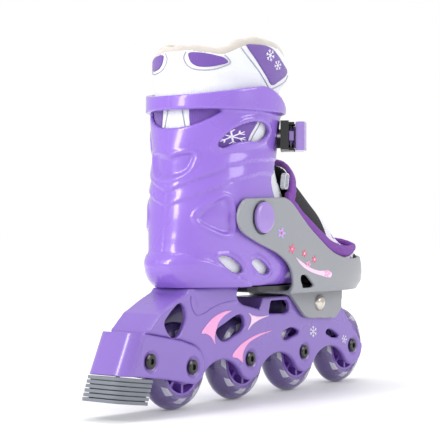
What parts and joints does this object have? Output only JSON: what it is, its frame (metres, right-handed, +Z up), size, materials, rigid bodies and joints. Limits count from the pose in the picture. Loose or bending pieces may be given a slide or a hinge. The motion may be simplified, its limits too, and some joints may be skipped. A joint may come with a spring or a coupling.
{
  "type": "inline skate",
  "caption": "Child's adjustable inline skate: moulded boot with soft liner, sliding toe, ratchet buckle, frame with wheels in line and heel brake.",
  "frame": {"origin": "on the ground, midway along the skate and in its middle plane", "axes": "+X towards the toe, +Y to the left, +Z up; the axles run along Y"},
  "size_m": [0.3393, 0.1005, 0.2834],
  "materials": {
    "urethane": "translucent purple cast urethane",
    "hub_plastic": "moulded purple hub",
    "steel": "bright bearing steel",
    "black_steel": "black oxide button heads",
    "zinc": "zinc plated",
    "nickel": "nickel plated dome",
    "shell_purple": "glossy moulded purple",
    "frame_purple": "satin moulded purple",
    "toe_grey": "moulded grey",
    "black_plastic": "moulded black",
    "lilac_plastic": "light purple moulded",
    "brake_rubber": "ribbed grey rubber",
    "white_fabric": "white padded fabric with purple patches",
    "beige_lining": "beige brushed lining",
    "mesh_fabric": "printed and mesh fabric",
    "purple_binding": "padded purple binding",
    "foam": "foam insole"
  },
  "bodies": {
    "skate": {"bearing_inner_races": "steel", "axle_spacers": "steel", "axle_bolts": "black_steel", "axle_screws": "black_steel", "brake_bolt": "black_steel", "brake_bolt_screw": "black_steel", "frame": "frame_purple", "brake_housing": "frame_purple", "brake_pad": "brake_rubber", "brake_pad_screw": "zinc", "heel_bolts": "zinc", "heel_nuts": "zinc", "buckle_pins": "zinc", "buckle_rivet": "zinc", "strap_rivet": "zinc", "pawl_spring": "zinc", "rear_shell": "shell_purple", "liner": "white_fabric", "tongue": "white_fabric", "lining": "beige_lining", "insole": "foam", "buckle_base": "black_plastic", "ladder_strap": "black_plastic"},
    "toe": {"toe_shell": "toe_grey", "toe_bracket": "toe_grey", "bracket_screws": "zinc", "bracket_nut": "zinc", "button_spring": "zinc", "bracket_bolt": "nickel", "slide_plate": "black_plastic", "toe_sock": "white_fabric", "pull_loop": "white_fabric", "toe_cover": "mesh_fabric", "toe_trim": "purple_binding", "arm_cap": "lilac_plastic"},
    "button": {"size_button": "lilac_plastic", "latch_pin": "zinc"},
    "lever": {"buckle_lever": "lilac_plastic"},
    "pawl": {"buckle_pawl": "lilac_plastic"},
    "wheel_1": {"wheel_1_tyre": "urethane", "wheel_1_hub": "hub_plastic", "wheel_1_outer_races": "steel", "wheel_1_balls": "steel"},
    "wheel_2": {"wheel_2_tyre": "urethane", "wheel_2_hub": "hub_plastic", "wheel_2_outer_races": "steel", "wheel_2_balls": "steel"},
    "wheel_3": {"wheel_3_tyre": "urethane", "wheel_3_hub": "hub_plastic", "wheel_3_outer_races": "steel", "wheel_3_balls": "steel"},
    "wheel_4": {"wheel_4_tyre": "urethane", "wheel_4_hub": "hub_plastic", "wheel_4_outer_races": "steel", "wheel_4_balls": "steel"}
  },
  "joints": [
    {"name": "wheel_1_spin", "type": "hinge", "parent": "skate", "child": "wheel_1", "pos_m": [-0.0884, 0, 0.032], "axis": [0, 1, 0], "continuous": true},
    {"name": "wheel_2_spin", "type": "hinge", "parent": "skate", "child": "wheel_2", "pos_m": [-0.0134, 0, 0.032], "axis": [0, 1, 0], "continuous": true},
    {"name": "wheel_3_spin", "type": "hinge", "parent": "skate", "child": "wheel_3", "pos_m": [0.0616, 0, 0.032], "axis": [0, 1, 0], "continuous": true},
    {"name": "wheel_4_spin", "type": "hinge", "parent": "skate", "child": "wheel_4", "pos_m": [0.1366, 0, 0.032], "axis": [0, 1, 0], "continuous": true},
    {"name": "toe_slide", "type": "slide", "parent": "skate", "child": "toe", "axis": [1, 0, 0], "range_m": [0, 0.025]},
    {"name": "button_press", "type": "slide", "parent": "toe", "child": "button", "axis": [0, 1, 0], "range_m": [0, 0.002], "stiffness_N_per_m": 600, "deforming": ["button_spring"]},
    {"name": "lever_swing", "type": "hinge", "parent": "skate", "child": "lever", "pos_m": [0.02201, -0.0309, 0.203], "axis": [0, 0, 1], "range_deg": [0, 80]},
    {"name": "pawl_release", "type": "hinge", "parent": "skate", "child": "pawl", "pos_m": [0.01158, -0.03687, 0.203], "axis": [0, 0, -1], "range_deg": [0, 12], "stiffness_Nm_per_rad": 0.05, "springref_deg": -5.73}
  ]
}
